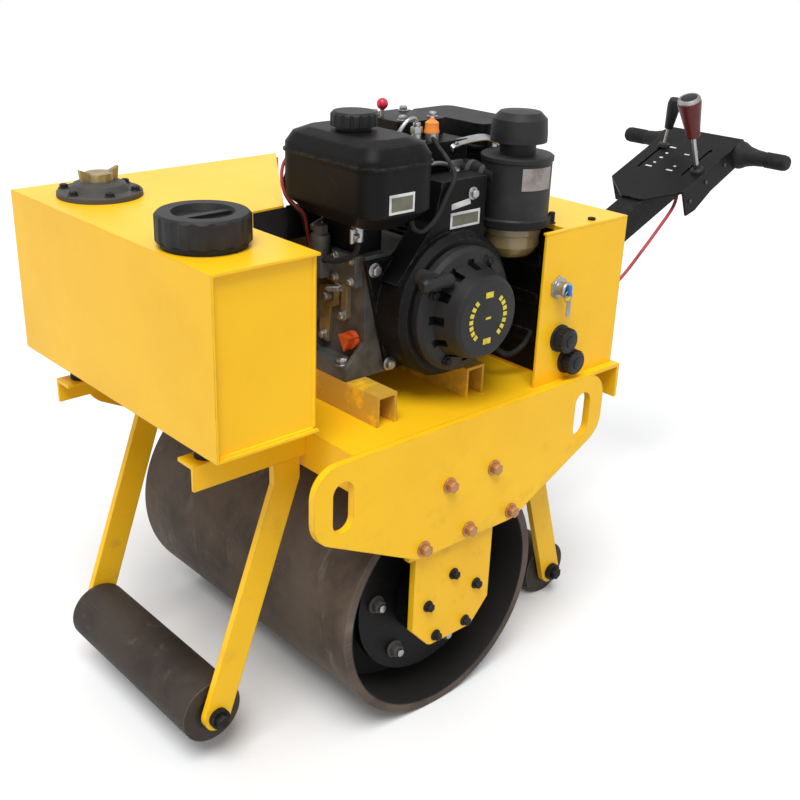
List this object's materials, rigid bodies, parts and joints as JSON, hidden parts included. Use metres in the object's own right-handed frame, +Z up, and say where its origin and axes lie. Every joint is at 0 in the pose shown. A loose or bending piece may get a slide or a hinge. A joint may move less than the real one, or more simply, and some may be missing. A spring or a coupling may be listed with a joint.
{
  "type": "walk-behind road roller",
  "caption": "Walk-behind single-drum road roller with a water tank at the front, an open diesel engine on the deck and a tilting control handle at the rear.",
  "frame": {"origin": "on the ground under the middle of the drum axle", "axes": "+X forwards to the water tank, +Y to the left side of the machine, +Z up"},
  "size_m": [1.5202, 0.666, 0.996],
  "materials": {
    "yellow_paint": "gloss yellow paint",
    "black_paint": "satin black paint",
    "drum_steel": "worn brown steel",
    "roller_steel": "worn brown steel",
    "grey_cast": "cast grey",
    "bare_steel": "bare steel",
    "zinc": "yellow zinc",
    "rubber": "matt rubber",
    "black_plastic": "matt black plastic",
    "amber_plastic": "cloudy amber plastic",
    "red_plastic": "dark red plastic",
    "orange_plastic": "orange plastic"
  },
  "bodies": {
    "chassis": {"deck": "yellow_paint", "side_plate_left": "yellow_paint", "side_plate_right": "yellow_paint", "drum_bracket_left": "yellow_paint", "drum_bracket_right": "yellow_paint", "motor_housings": "black_paint", "tank_arms": "yellow_paint", "tank_pads": "rubber", "front_legs": "yellow_paint", "rear_legs": "yellow_paint", "roller_axles": "bare_steel", "water_tank": "yellow_paint", "water_cap": "black_plastic", "oil_breather": "black_paint", "breather_plug": "zinc", "rear_box": "yellow_paint", "rear_box_lid": "yellow_paint", "socket_caps": "black_plastic", "key_switch": "bare_steel", "engine_rails": "yellow_paint", "crankcase": "grey_cast", "cylinder_block": "black_paint", "blower_housing": "black_paint", "starter": "black_plastic", "fuel_tank": "black_paint", "fuel_cap": "black_plastic", "muffler": "black_paint", "air_cleaner": "black_plastic", "air_cleaner_bowl": "amber_plastic", "injection_pump": "grey_cast", "hydraulic_pump": "grey_cast", "governor_lever": "zinc", "stop_lever": "red_plastic", "oil_plug": "orange_plastic", "handle_bracket": "black_paint"},
    "drum": {"drum_shell": "drum_steel", "drive_plates": "black_paint", "buffers": "rubber", "vibrator": "bare_steel"},
    "front_roller": {"front_roller": "roller_steel"},
    "rear_roller": {"rear_roller": "roller_steel"},
    "handle": {"handle_arm": "black_paint", "control_panel": "black_paint", "handlebar": "black_paint", "grips": "rubber", "gear_lever": "bare_steel", "gear_knob": "red_plastic", "control_cable": "red_plastic"}
  },
  "joints": [
    {"name": "drum_spin", "type": "hinge", "parent": "chassis", "child": "drum", "pos_m": [0, 0, 0.2125], "axis": [0, 1, 0], "continuous": true},
    {"name": "front_roller_spin", "type": "hinge", "parent": "chassis", "child": "front_roller", "pos_m": [0.384, 0, 0.097], "axis": [0, 1, 0], "continuous": true},
    {"name": "rear_roller_spin", "type": "hinge", "parent": "chassis", "child": "rear_roller", "pos_m": [-0.414, 0, 0.053], "axis": [0, 1, 0], "continuous": true},
    {"name": "handle_tilt", "type": "hinge", "parent": "chassis", "child": "handle", "pos_m": [-0.43, 0, 0.517], "axis": [0, 1, 0], "range_deg": [0, 60]}
  ]
}
